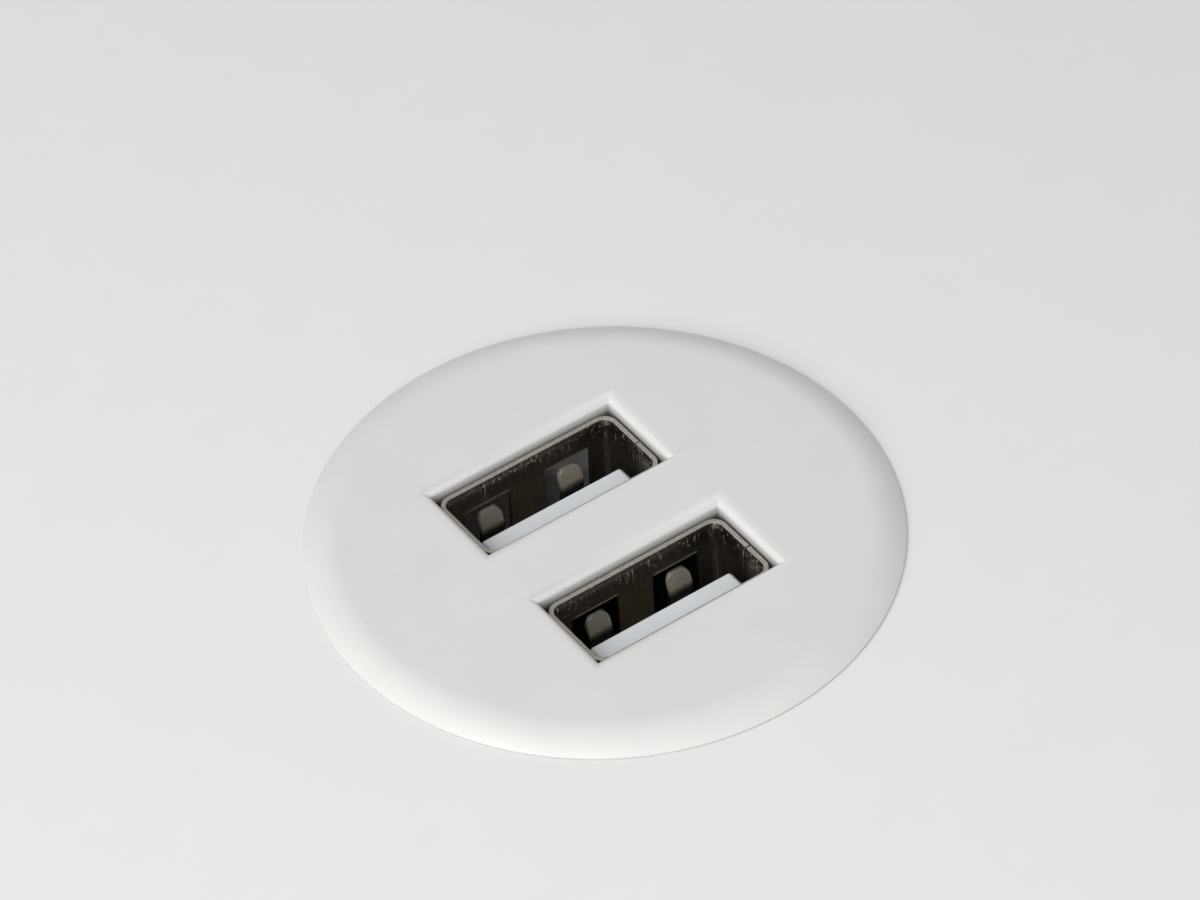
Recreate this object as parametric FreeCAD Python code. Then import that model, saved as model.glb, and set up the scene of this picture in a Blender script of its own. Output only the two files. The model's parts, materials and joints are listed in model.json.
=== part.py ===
import FreeCAD, Part
import math
import os

# An in-desk USB charger. A round faceplate lies on the desk, a barrel goes down through the
# desk's hole, and a ring nut clamps the desk from below. Two upright USB receptacles stand on
# a round board, which hangs from the faceplate on two pillars.
#
# Millimetres. The origin is on the barrel's axis, at the height of the desk top. +Z is up and
# +X is along the long sides of the receptacles. Socket a is on the -Y side, socket b on +Y.

# Faceplate
FLANGE_RADIUS = 19.0
FLANGE_HEIGHT = 1.0
FLANGE_EDGE_WIDTH = 2.4
FLANGE_EDGE_DROP = 0.85
FLANGE_EDGE_STEPS = 3
PLATE_DEPTH = 1.3
RIM_GROOVE_DEPTH = 0.1
RIM_GROOVE_CLEARANCE = 0.1
SKIRT_DEPTH = 6.0
SKIRT_WALL = 1.0
SKIRT_CLEARANCE = 0.1
PILLAR_RADIUS = 2.2
PILLAR_SINK_INTO_SKIRT = 0.3
RIB_THICKNESS = 1.2
RIB_DEPTH = 3.0
SLOT_END_GAP = 0.4
SLOT_SIDE_GAP = 0.365
SLOT_EDGE_WIDTH = 0.8
SLOT_EDGE_DROP = 0.4

# Snap hooks of the skirt and the barrel pockets that take them
HOOK_COUNT = 4
HOOK_FIRST_ANGLE = 45.0
HOOK_SPAN_ANGLE = 16.0
HOOK_REACH = 0.5
HOOK_TOP_DEPTH = 3.2
HOOK_HEIGHT = 1.8
HOOK_CLEARANCE = 0.15
HOOK_RELIEF_WIDTH = 0.8
HOOK_RELIEF_LENGTH = 3.6

# USB receptacles
SOCKET_SPACING = 11.75
OPENING_WIDTH = 12.5
OPENING_DEPTH = 5.12
SHEET = 0.3
SHELL_CORNER_RADIUS = 0.8
SHELL_LENGTH = 13.5
SHELL_BELOW_FACE = 0.9
MOUTH_FLARE = 0.2
MOUTH_FLARE_HEIGHT = 0.5
SEAM_GAP = 0.08
SEAM_OFFSET = -0.4
TONGUE_WIDTH = 11.1
TONGUE_THICKNESS = 1.84
TONGUE_CONTACT_FACE = -0.04
TONGUE_TIP_DEPTH = 1.85
TONGUE_END_CHAMFER = 0.25
INSULATOR_BASE_HEIGHT = 4.2
INSULATOR_CLEARANCE = 0.05

# Grip springs in the wide walls of a receptacle
WINDOW_OFFSET = 3.115
WINDOW_WIDTH = 3.57
WINDOW_TOP_DEPTH = 1.8
WINDOW_LENGTH = 6.9
GRIP_WIDTH = 1.7
GRIP_BEND_INWARD = 0.55
GRIP_BEND_RADIUS = 1.0
GRIP_CREST_BELOW_WINDOW_TOP = 1.85
GRIP_TIP_BELOW_WINDOW_TOP = 0.5
GRIP_TIP_INWARD = 0.1
GRIP_TIP_ROUND = 0.75
ROOT_GAP = 0.05

# Contacts on the tongue
CONTACT_PLACES = (-3.5, -1.0, 1.0, 3.5)
CONTACT_WIDTH = 1.0
CONTACT_SHEET = 0.25
CONTACT_ROOT_INSET = 0.35
CONTACT_CREST_HEIGHT = 0.46
CONTACT_CREST_DEPTH = 4.5
CONTACT_TIP_DEPTH = 3.0
CONTACT_TIP_INSET = 0.41
CONTACT_BEND_RADIUS = 0.8
CONTACT_GROOVE_DEPTH = 1.1
CONTACT_GROOVE_CLEARANCE = 0.1
CONTACT_GROOVE_ABOVE_TIP = 0.2
TAIL_WIDTH = 0.6

# Legs and tails below the board
PIN_LENGTH_BELOW_BOARD = 0.8
LEG_WIDTH = 1.4
LEG_OFFSET = 1.2
PIN_HOLE_CLEARANCE = 0.15

# Barrel
BARREL_RADIUS = 14.8
BARREL_WALL = 1.5
COLLAR_LENGTH = 8.0
THREAD_DEPTH = 0.4
COLLAR_STEP_LENGTH = 0.4
BARREL_LENGTH = 34.0
CAP_BOSS_RADIUS = 2.2
CAP_BOSS_LENGTH = 7.0

# Board and its screws
BOARD_THICKNESS = 1.6
BOARD_CLEARANCE = 0.55
SCREW_SHANK_RADIUS = 0.8
SCREW_HEAD_RADIUS = 1.9
SCREW_HEAD_HEIGHT = 1.3
SCREW_HOLE_CLEARANCE = 0.25
SCREW_PILOT_CLEARANCE = 0.05
SCREW_GRIP_LENGTH = 5.0
SCREW_TIP_ROOM = 0.6

# Rear cap and cable grommet
CAP_THICKNESS = 1.6
CAP_INSET = 0.4
CAP_VENT_COUNT = 3
CAP_VENT_LENGTH = 6.0
CAP_VENT_WIDTH = 1.0
CAP_VENT_FIRST = 6.6
CAP_VENT_PITCH = 2.0
GROMMET_BORE_RADIUS = 2.5
GROMMET_WALL = 1.4
GROMMET_LIP = 1.2
GROMMET_INNER_LIP_HEIGHT = 1.2
GROMMET_OUTER_LIP_HEIGHT = 2.4

# Ring nut and slip washer
DESK_THICKNESS = 19.0
WASHER_THICKNESS = 1.0
WASHER_CLEARANCE = 0.15
NUT_CLEARANCE = 0.1
NUT_WALL = 2.5
NUT_HEIGHT = 8.0
NUT_FLANGE_WIDTH = 1.6
NUT_FLANGE_HEIGHT = 1.6
NUT_RIB_COUNT = 20
NUT_RIB_WIDTH = 1.6
NUT_RIB_TIP_WIDTH = 0.9
NUT_RIB_REACH = 1.2
NUT_RIB_INSET = 0.5

# Electronics: length along X, width along Y and height away from the board
INDUCTOR_SIZE = (6.0, 6.0, 3.0)
INDUCTOR_PLACE = (-3.8, -0.6)
INDUCTOR_CORNER = 1.2
INDUCTOR_TERMINAL_SIZE = (1.2, 3.0, 0.15)
INPUT_CAPACITOR_RADIUS = 3.0
INPUT_CAPACITOR_HEIGHT = 7.0
INPUT_CAPACITOR_PLACE = (3.3, -0.6)
OUTPUT_CAPACITOR_RADIUS = 1.5
OUTPUT_CAPACITOR_HEIGHT = 5.2
OUTPUT_CAPACITOR_SHELL_GAP = 0.25
OUTPUT_CAPACITOR_Y = 4.2
CAPACITOR_BASE_HEIGHT = 0.8
BUCK_CHIP_SIZE = (3.9, 4.9, 1.45)
BUCK_CHIP_PLACE = (0.0, -8.9)
BUCK_LEAD_COUNT = 4
BUCK_LEAD_PITCH = 1.27
BUCK_LEAD_WIDTH = 0.42
PORT_CHIP_SIZE = (1.6, 2.9, 1.1)
PORT_CHIP_PLACE = (3.6, 0.0)
PORT_LEAD_COUNT = 3
PORT_LEAD_PITCH = 0.95
PORT_LEAD_WIDTH = 0.4
LEAD_REACH = 1.05
LEAD_SHEET = 0.2
CHIP_STANDOFF = 0.1
DIODE_SIZE = (2.7, 1.6, 1.1)
DIODE_PLACE = (5.3, -8.7)
FUSE_SIZE = (3.2, 1.6, 0.8)
FUSE_PLACE = (-5.1, -8.7)
CHIP_RESISTOR_SIZE = (1.6, 0.8, 0.45)
OUTER_RESISTOR_PLACE = (3.6, 2.3)
MIDDLE_RESISTOR_PLACE = (0.0, 1.0)
CHIP_CAPACITOR_SIZE = (2.0, 1.25, 0.9)
CHIP_CAPACITOR_SHELL_GAP = 0.65
INNER_CHIP_CAPACITOR_Y = -4.0
OUTER_CHIP_CAPACITOR_Y = -5.8
HEADER_SIZE = (6.0, 4.2, 6.0)
HEADER_PLACE = (0.0, 9.2)
HEADER_WALL = 0.6
HEADER_FLOOR = 1.4
HEADER_PIN_WIDTH = 0.64
HEADER_PIN_SPACING = 2.5
HEADER_PIN_HEIGHT = 5.0
HEADER_PIN_ABOVE_BOARD = 0.6

# How far a cutter runs past the wall that it cuts
CUTTER_OVERRUN = 0.5

# Heights and radii that follow from the sizes above
SHELL_RIM = FLANGE_HEIGHT - SHELL_BELOW_FACE
BOARD_TOP = SHELL_RIM - SHELL_LENGTH
BOARD_UNDERSIDE = BOARD_TOP - BOARD_THICKNESS
SHELL_WIDTH = OPENING_WIDTH + 2 * SHEET
SHELL_DEPTH = OPENING_DEPTH + 2 * SHEET
BARREL_BORE = BARREL_RADIUS - BARREL_WALL
THREAD_CORE_RADIUS = BARREL_RADIUS - THREAD_DEPTH
SKIRT_OUTER = BARREL_BORE - SKIRT_CLEARANCE
SKIRT_INNER = SKIRT_OUTER - SKIRT_WALL
PILLAR_X = SKIRT_INNER - PILLAR_RADIUS + PILLAR_SINK_INTO_SKIRT
BOARD_RADIUS = BARREL_BORE - BOARD_CLEARANCE
CAP_BOSS_Y = BARREL_BORE - CAP_BOSS_RADIUS
CAP_TOP = -BARREL_LENGTH
CAP_RADIUS = THREAD_CORE_RADIUS - CAP_INSET
CAP_UNDERSIDE = CAP_TOP - CAP_THICKNESS
WASHER_TOP = -DESK_THICKNESS
NUT_TOP = WASHER_TOP - WASHER_THICKNESS
NUT_BORE = BARREL_RADIUS + NUT_CLEARANCE
NUT_BODY_RADIUS = NUT_BORE + NUT_WALL
NUT_FLANGE_RADIUS = NUT_BODY_RADIUS + NUT_FLANGE_WIDTH
CONTACT_ROOT_Y = TONGUE_CONTACT_FACE - CONTACT_ROOT_INSET
INSULATOR_TOP = BOARD_TOP + INSULATOR_BASE_HEIGHT
CONTACT_ROOT_Z = INSULATOR_TOP + ROOT_GAP
WINDOW_TOP = SHELL_RIM - WINDOW_TOP_DEPTH
WINDOW_BOTTOM = WINDOW_TOP - WINDOW_LENGTH
GRIP_ROOT_Y = (OPENING_DEPTH + SHEET) / 2
GRIP_ROOT_Z = WINDOW_BOTTOM + ROOT_GAP
PIN_TIP = BOARD_UNDERSIDE - PIN_LENGTH_BELOW_BOARD
X_AXIS = FreeCAD.Vector(1, 0, 0)
Z_AXIS = FreeCAD.Vector(0, 0, 1)
ORIGIN = FreeCAD.Vector(0, 0, 0)


def save(name, *solids):
    """Write one named piece, or one group of alike separate pieces."""
    shape = solids[0] if len(solids) == 1 else Part.makeCompound(list(solids))
    if not shape.isValid():
        raise ValueError(name + " is not a valid shape")
    shape.exportStep(os.path.join("parts", name + ".step"))


def one_solid(shape):
    """The single solid of a boolean result, with split faces joined again."""
    clean = shape.removeSplitter()
    if len(clean.Solids) != 1:
        raise ValueError("expected one solid, got " + str(len(clean.Solids)))
    return clean.Solids[0]


def moved(shape, x=0.0, y=0.0, z=0.0):
    placed = shape.copy()
    placed.translate(FreeCAD.Vector(x, y, z))
    return placed


def turned(shape, degrees):
    placed = shape.copy()
    placed.rotate(ORIGIN, Z_AXIS, degrees)
    return placed


def block(length, width, low, high, x=0.0, y=0.0):
    """A box centred on x, y, from height low to height high."""
    corner = FreeCAD.Vector(x - length / 2, y - width / 2, low)
    return Part.makeBox(length, width, high - low, corner)


def rod(radius, low, high, x=0.0, y=0.0):
    return Part.makeCylinder(radius, high - low, FreeCAD.Vector(x, y, low))


def tube(outer, inner, low, high, x=0.0, y=0.0):
    return rod(outer, low, high, x, y).cut(rod(inner, low, high, x, y))


def rounded_block(length, width, corner, low, high, x=0.0, y=0.0):
    """A box whose four upright edges are rounded."""
    plain = block(length, width, low, high, x, y)
    upright = [e for e in plain.Edges if abs(e.tangentAt(e.FirstParameter).z) > 0.9]
    return plain.makeFillet(corner, upright)


def flared_block(length, width, corner, low, flare_low, high, flare):
    """A rounded box that widens by the flare on every side, from flare_low up to its top."""
    outlines = []
    for grow, z in ((0, flare_low), (flare, high)):
        slab = rounded_block(length + 2 * grow, width + 2 * grow, corner + grow, low, z)
        outlines.append([f for f in slab.Faces if abs(f.CenterOfMass.z - z) < 1e-6][0].OuterWire)
    straight = rounded_block(length, width, corner, low, flare_low)
    return straight.fuse(Part.makeLoft(outlines, True, True))


def turned_profile(points, span=360.0, start=0.0):
    """Turn a closed outline of (radius, height) points about Z."""
    corners = [FreeCAD.Vector(r, 0, z) for r, z in points]
    face = Part.Face(Part.makePolygon(corners + corners[:1]))
    return turned(face.revolve(ORIGIN, Z_AXIS, span), start)


def bent_strip(path, bend_radii, thickness, width):
    """A strip of sheet along a bent path of (y, z) points, centred on x = 0.

    Each inner point of the path is a bend with its own radius at the middle of the sheet."""
    points = [FreeCAD.Vector(0, y, z) for y, z in path]
    ways = [(b - a).normalize() for a, b in zip(points, points[1:])]
    sides = [FreeCAD.Vector(0, -way.z, way.y) for way in ways]

    def side_edges(shift):
        edges = []
        here = points[0] + sides[0] * shift
        for i, radius in enumerate(bend_radii):
            turn = math.atan2(ways[i].y * ways[i + 1].z - ways[i].z * ways[i + 1].y,
                              ways[i].dot(ways[i + 1]))
            sign = math.copysign(1.0, turn)
            reach = radius * math.tan(abs(turn) / 2)
            begin = points[i + 1] - ways[i] * reach
            end = points[i + 1] + ways[i + 1] * reach
            centre = begin + sides[i] * (sign * radius)
            middle = centre + (sides[i] + sides[i + 1]).normalize() * (shift - sign * radius)
            arc_start = begin + sides[i] * shift
            arc_end = end + sides[i + 1] * shift
            edges.append(Part.makeLine(here, arc_start))
            edges.append(Part.Arc(arc_start, middle, arc_end).toShape())
            here = arc_end
        edges.append(Part.makeLine(here, points[-1] + sides[-1] * shift))
        return edges

    half = thickness / 2
    root = Part.makeLine(points[0] - sides[0] * half, points[0] + sides[0] * half)
    tip = Part.makeLine(points[-1] + sides[-1] * half, points[-1] - sides[-1] * half)
    outline = Part.Wire(Part.__sortEdges__(side_edges(half) + side_edges(-half) + [root, tip]))
    strip = Part.Face(outline).extrude(X_AXIS * width)
    return moved(strip, x=-width / 2)


def chip_with_leads(size, place, count, pitch, lead_width, low_side):
    """A moulded chip with bent leads along its two X sides. It hangs below low_side."""
    length, width, height = size
    top = low_side - CHIP_STANDOFF
    body = block(length, width, top - height, top)
    middle = top - height / 2
    lead_x = length / 2 + LEAD_REACH / 2
    pieces = [body]
    for side in (-1, 1):
        for i in range(count):
            y = (i - (count - 1) / 2) * pitch
            shoulder = block(LEAD_REACH / 2, lead_width, middle - LEAD_SHEET / 2,
                             middle + LEAD_SHEET / 2, side * (length / 2 + LEAD_REACH / 4), y)
            drop = block(LEAD_SHEET, lead_width, middle - LEAD_SHEET / 2, low_side, side * lead_x, y)
            foot = block(LEAD_REACH / 2, lead_width, low_side - LEAD_SHEET, low_side,
                         side * (lead_x + LEAD_REACH / 4 - LEAD_SHEET / 2), y)
            pieces += [shoulder, drop, foot]
    return moved(one_solid(pieces[0].multiFuse(pieces[1:])), place[0], place[1])


def mirrored_up(shape, level):
    """Turn a piece that hangs below a level over, so that it stands on another level."""
    return shape.mirror(FreeCAD.Vector(0, 0, level), Z_AXIS)


def electrolytic_capacitor(radius, height, place):
    """The can and the square base of one capacitor that hangs below the board."""
    x, y = place
    base_low = BOARD_UNDERSIDE - CAPACITOR_BASE_HEIGHT
    base = block(2 * radius, 2 * radius, base_low, BOARD_UNDERSIDE, x, y)
    return rod(radius, BOARD_UNDERSIDE - height, base_low, x, y), base


def hook_angles():
    return [HOOK_FIRST_ANGLE + i * 360.0 / HOOK_COUNT for i in range(HOOK_COUNT)]


def soft_edge(width, drop, share):
    """A point of an arc that runs level into the plate's top and falls by the drop over the width.

    Returns how far it is from the level end, and its height, at a share of the arc."""
    radius = (width ** 2 + drop ** 2) / (2 * drop)
    angle = share * math.asin(width / radius)
    return radius * math.sin(angle), FLANGE_HEIGHT - radius * (1 - math.cos(angle))


def flared_slot(width):
    """An endless slot along Y that opens out at the plate's top with a soft edge."""
    half = width / 2
    mouth = half + SLOT_EDGE_WIDTH
    edge_low = FLANGE_HEIGHT - SLOT_EDGE_DROP
    inset, middle = soft_edge(SLOT_EDGE_WIDTH, SLOT_EDGE_DROP, 0.5)
    reach = 2 * FLANGE_RADIUS

    def at(x, z):
        return FreeCAD.Vector(x, -reach / 2, z)

    edges = [Part.makeLine(at(-half, -PLATE_DEPTH), at(half, -PLATE_DEPTH)),
             Part.makeLine(at(-mouth, FLANGE_HEIGHT), at(mouth, FLANGE_HEIGHT))]
    for side in (-1, 1):
        edges.append(Part.makeLine(at(side * half, -PLATE_DEPTH), at(side * half, edge_low)))
        edges.append(Part.Arc(at(side * half, edge_low), at(side * (mouth - inset), middle),
                              at(side * mouth, FLANGE_HEIGHT)).toShape())
    face = Part.Face(Part.Wire(Part.__sortEdges__(edges)))
    return face.extrude(FreeCAD.Vector(0, reach, 0))


def slot_cutter(y):
    """One slot of the faceplate. Its soft top edges meet in mitred corners."""
    along = flared_slot(SHELL_WIDTH + 2 * SLOT_END_GAP)
    across = turned(flared_slot(SHELL_DEPTH + 2 * SLOT_SIDE_GAP), 90)
    return moved(along.common(across), y=y)


def flange_disc():
    """The flange and the plate that fits in the barrel.

    The flange's soft edge is an arc made of a few narrow cones."""
    flat_radius = FLANGE_RADIUS - FLANGE_EDGE_WIDTH
    edge = []
    for i in range(FLANGE_EDGE_STEPS + 1):
        out, z = soft_edge(FLANGE_EDGE_WIDTH, FLANGE_EDGE_DROP, i / FLANGE_EDGE_STEPS)
        edge.append((flat_radius + out, z))
    groove_outer = BARREL_RADIUS + RIM_GROOVE_CLEARANCE
    return turned_profile([(0, FLANGE_HEIGHT)] + edge + [
        (FLANGE_RADIUS, 0), (groove_outer, 0), (groove_outer, RIM_GROOVE_DEPTH),
        (SKIRT_OUTER, RIM_GROOVE_DEPTH), (SKIRT_OUTER, -PLATE_DEPTH), (0, -PLATE_DEPTH),
    ])


def make_faceplate():
    pieces = [tube(SKIRT_OUTER, SKIRT_INNER, -SKIRT_DEPTH, -PLATE_DEPTH)]
    rib_low = -PLATE_DEPTH - RIB_DEPTH
    pieces.append(block(2 * PILLAR_X, RIB_THICKNESS, rib_low, -PLATE_DEPTH))
    for side in (-1, 1):
        pieces.append(rod(PILLAR_RADIUS, BOARD_TOP, -PLATE_DEPTH, side * PILLAR_X))
    hook_root = SKIRT_OUTER - SKIRT_WALL / 2
    hook_face = SKIRT_OUTER + HOOK_REACH
    hook_low = -HOOK_TOP_DEPTH - HOOK_HEIGHT
    for angle in hook_angles():
        pieces.append(turned_profile([
            (hook_root, -HOOK_TOP_DEPTH), (hook_face, -HOOK_TOP_DEPTH),
            (hook_face, -HOOK_TOP_DEPTH - HOOK_REACH), (SKIRT_OUTER, hook_low),
            (hook_root, hook_low),
        ], HOOK_SPAN_ANGLE, angle - HOOK_SPAN_ANGLE / 2))
    plate = flange_disc().multiFuse(pieces)

    cuts = []
    relief_angle = HOOK_SPAN_ANGLE / 2 + math.degrees(HOOK_RELIEF_WIDTH / SKIRT_OUTER)
    for angle in hook_angles():
        for side in (-1, 1):
            relief = block(2 * (SKIRT_WALL + CUTTER_OVERRUN), HOOK_RELIEF_WIDTH, -SKIRT_DEPTH,
                           HOOK_RELIEF_LENGTH - SKIRT_DEPTH, SKIRT_OUTER)
            cuts.append(turned(relief, angle + side * relief_angle))
    pilot_top = BOARD_TOP + SCREW_GRIP_LENGTH + SCREW_TIP_ROOM
    for side in (-1, 1):
        cuts.append(rod(SCREW_SHANK_RADIUS + SCREW_PILOT_CLEARANCE, BOARD_TOP, pilot_top,
                        side * PILLAR_X))
    for y in (-SOCKET_SPACING / 2, SOCKET_SPACING / 2):
        cuts.append(slot_cutter(y))
    return one_solid(plate.cut(cuts))


def make_barrel():
    step = -COLLAR_LENGTH - COLLAR_STEP_LENGTH
    barrel = turned_profile([
        (BARREL_BORE, RIM_GROOVE_DEPTH), (BARREL_RADIUS, RIM_GROOVE_DEPTH),
        (BARREL_RADIUS, -COLLAR_LENGTH), (THREAD_CORE_RADIUS, step),
        (THREAD_CORE_RADIUS, CAP_TOP), (BARREL_BORE, CAP_TOP),
    ])
    boss_high = CAP_TOP + CAP_BOSS_LENGTH
    core = rod((BARREL_BORE + THREAD_CORE_RADIUS) / 2, CAP_TOP, boss_high)
    bosses = []
    pilots = []
    for side in (-1, 1):
        boss = rod(CAP_BOSS_RADIUS, CAP_TOP, boss_high, 0, side * CAP_BOSS_Y)
        web = block(2 * CAP_BOSS_RADIUS, CAP_BOSS_RADIUS + BARREL_WALL, CAP_TOP, boss_high,
                    0, side * (CAP_BOSS_Y + (CAP_BOSS_RADIUS + BARREL_WALL) / 2))
        bosses.append(boss.fuse(web).common(core))
        pilots.append(rod(SCREW_SHANK_RADIUS + SCREW_PILOT_CLEARANCE, CAP_TOP,
                          CAP_TOP + SCREW_GRIP_LENGTH + SCREW_TIP_ROOM, 0, side * CAP_BOSS_Y))
    barrel = barrel.multiFuse(bosses)
    for angle in hook_angles():
        span = HOOK_SPAN_ANGLE + 2 * math.degrees(HOOK_CLEARANCE / BARREL_BORE)
        pocket_face = SKIRT_OUTER + HOOK_REACH + HOOK_CLEARANCE
        high = -HOOK_TOP_DEPTH + HOOK_CLEARANCE
        low = -HOOK_TOP_DEPTH - HOOK_HEIGHT - HOOK_CLEARANCE
        pilots.append(turned_profile([
            (SKIRT_OUTER, high), (pocket_face, high), (pocket_face, low), (SKIRT_OUTER, low),
        ], span, angle - span / 2))
    return one_solid(barrel.cut(pilots))


def make_shell():
    """The folded sheet-metal shell of a receptacle, about its own upright axis.

    Its mouth flares, and its sheet meets itself in a seam in the +X wall."""
    heights = (BOARD_TOP, SHELL_RIM - MOUTH_FLARE_HEIGHT, SHELL_RIM)
    outer = flared_block(SHELL_WIDTH, SHELL_DEPTH, SHELL_CORNER_RADIUS, *heights, MOUTH_FLARE)
    inner = flared_block(OPENING_WIDTH, OPENING_DEPTH, SHELL_CORNER_RADIUS - SHEET, *heights,
                         MOUTH_FLARE)
    shell = outer.cut(inner)
    windows =[block(WINDOW_WIDTH, SHELL_DEPTH, WINDOW_BOTTOM, WINDOW_TOP, side * WINDOW_OFFSET)
               for side in (-1, 1)]
    legs = []
    leg_x = (OPENING_WIDTH + SHEET) / 2
    seam = block(SHEET + 2 * CUTTER_OVERRUN, SEAM_GAP, BOARD_TOP, SHELL_RIM, leg_x, SEAM_OFFSET)
    for x in (-leg_x, leg_x):
        for y in (-LEG_OFFSET, LEG_OFFSET):
            legs.append(block(SHEET, LEG_WIDTH, PIN_TIP, BOARD_TOP, x, y))
    return one_solid(shell.cut(windows + [seam]).multiFuse(legs))


def make_grip_spring():
    """One spring finger for the +Y wall, centred on x = 0. It is free at its upper end."""
    wall = OPENING_DEPTH / 2
    middle = SHEET / 2
    crest_z = WINDOW_TOP - GRIP_CREST_BELOW_WINDOW_TOP
    tip_z = WINDOW_TOP - GRIP_TIP_BELOW_WINDOW_TOP
    crest_corner = wall - GRIP_BEND_INWARD + middle
    tip_y = wall - GRIP_TIP_INWARD + middle
    strip = bent_strip([(GRIP_ROOT_Y, GRIP_ROOT_Z), (crest_corner, crest_z), (tip_y, tip_z)],
                       [GRIP_BEND_RADIUS], SHEET, GRIP_WIDTH)
    low = GRIP_ROOT_Z - SHEET
    tip_top = strip.BoundBox.ZMax
    frame = Part.makeBox(GRIP_WIDTH, SHELL_DEPTH, tip_top - low,
                         FreeCAD.Vector(-GRIP_WIDTH / 2, 0, low))
    corners = [e for e in frame.Edges
               if abs(e.BoundBox.ZMin - tip_top) < 1e-3 and e.BoundBox.XLength < 1e-3]
    return one_solid(strip.common(frame.makeFillet(GRIP_TIP_ROUND, corners)))


def make_grip_pair(side):
    """The two fingers of the +Y wall (side 1) or the -Y wall (side -1)."""
    finger = make_grip_spring()
    if side < 0:
        finger = turned(finger, 180)
    return [moved(finger, x=place) for place in (-WINDOW_OFFSET, WINDOW_OFFSET)]


def make_insulator():
    """The moulded insulator: a base that fills the shell's lower end, and the grooved tongue."""
    base = rounded_block(OPENING_WIDTH - 2 * INSULATOR_CLEARANCE,
                         OPENING_DEPTH - 2 * INSULATOR_CLEARANCE,
                         SHELL_CORNER_RADIUS - SHEET, BOARD_TOP, INSULATOR_TOP)
    tongue_top = SHELL_RIM - TONGUE_TIP_DEPTH
    tongue_y = TONGUE_CONTACT_FACE - TONGUE_THICKNESS / 2
    tongue = block(TONGUE_WIDTH, TONGUE_THICKNESS, INSULATOR_TOP, tongue_top, 0, tongue_y)
    end_edges = [e for e in tongue.Edges
                 if abs(e.BoundBox.ZMin - tongue_top) < 1e-3 and e.BoundBox.XLength < 1e-3]
    tongue = tongue.makeChamfer(TONGUE_END_CHAMFER, end_edges)
    grooves = []
    groove_top = SHELL_RIM - CONTACT_TIP_DEPTH + CONTACT_GROOVE_ABOVE_TIP
    groove_width = CONTACT_WIDTH + 2 * CONTACT_GROOVE_CLEARANCE
    slot_gap = 2 * INSULATOR_CLEARANCE
    for x in CONTACT_PLACES:
        grooves.append(block(groove_width, CONTACT_GROOVE_DEPTH, INSULATOR_TOP, groove_top,
                             x, TONGUE_CONTACT_FACE - CONTACT_GROOVE_DEPTH / 2))
        grooves.append(block(TAIL_WIDTH + slot_gap, CONTACT_SHEET + slot_gap, BOARD_TOP,
                             INSULATOR_TOP, x, CONTACT_ROOT_Y))
    return one_solid(base.fuse(tongue).cut(grooves))


def make_contact_springs():
    """The four sprung contacts, each bent out over the tongue's face and back into its groove."""
    face = TONGUE_CONTACT_FACE
    root = (CONTACT_ROOT_Y, CONTACT_ROOT_Z)
    crest = (face + CONTACT_CREST_HEIGHT, SHELL_RIM - CONTACT_CREST_DEPTH)
    tip = (face - CONTACT_TIP_INSET, SHELL_RIM - CONTACT_TIP_DEPTH)
    strip = bent_strip([root, crest, tip], [CONTACT_BEND_RADIUS], CONTACT_SHEET, CONTACT_WIDTH)
    return [moved(strip, x=place) for place in CONTACT_PLACES]


def make_contact_tails():
    top = CONTACT_ROOT_Z - ROOT_GAP
    return [block(TAIL_WIDTH, CONTACT_SHEET, PIN_TIP, top, place, CONTACT_ROOT_Y)
            for place in CONTACT_PLACES]


def make_board():
    board = rod(BOARD_RADIUS, BOARD_UNDERSIDE, BOARD_TOP)
    holes = []
    for side in (-1, 1):
        holes.append(rod(SCREW_SHANK_RADIUS + SCREW_HOLE_CLEARANCE, BOARD_UNDERSIDE, BOARD_TOP,
                         side * PILLAR_X))
        holes.append(block(HEADER_PIN_WIDTH + PIN_HOLE_CLEARANCE,
                           HEADER_PIN_WIDTH + PIN_HOLE_CLEARANCE, BOARD_UNDERSIDE, BOARD_TOP,
                           HEADER_PLACE[0] + side * HEADER_PIN_SPACING / 2, HEADER_PLACE[1]))
    leg_x = (OPENING_WIDTH + SHEET) / 2
    room = 2 * PIN_HOLE_CLEARANCE
    for socket_y in (-SOCKET_SPACING / 2, SOCKET_SPACING / 2):
        for x in (-leg_x, leg_x):
            for y in (-LEG_OFFSET, LEG_OFFSET):
                holes.append(block(SHEET + room, LEG_WIDTH + room, BOARD_UNDERSIDE, BOARD_TOP,
                                   x, socket_y + y))
        for x in CONTACT_PLACES:
            holes.append(block(TAIL_WIDTH + room, CONTACT_SHEET + room, BOARD_UNDERSIDE,
                               BOARD_TOP, x, socket_y + CONTACT_ROOT_Y))
    return one_solid(board.cut(holes))


def make_screw(seat, tip, x, y):
    """A screw that points up, with its head below the height of its seat."""
    head = rod(SCREW_HEAD_RADIUS, seat - SCREW_HEAD_HEIGHT, seat, x, y)
    return one_solid(head.fuse(rod(SCREW_SHANK_RADIUS, seat, tip, x, y)))


def make_board_screws():
    tip = BOARD_TOP + SCREW_GRIP_LENGTH
    return [make_screw(BOARD_UNDERSIDE, tip, side * PILLAR_X, 0) for side in (-1, 1)]


def make_cap_screws():
    tip = CAP_TOP + SCREW_GRIP_LENGTH
    return [make_screw(CAP_UNDERSIDE, tip, 0, side * CAP_BOSS_Y) for side in (-1, 1)]


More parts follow.
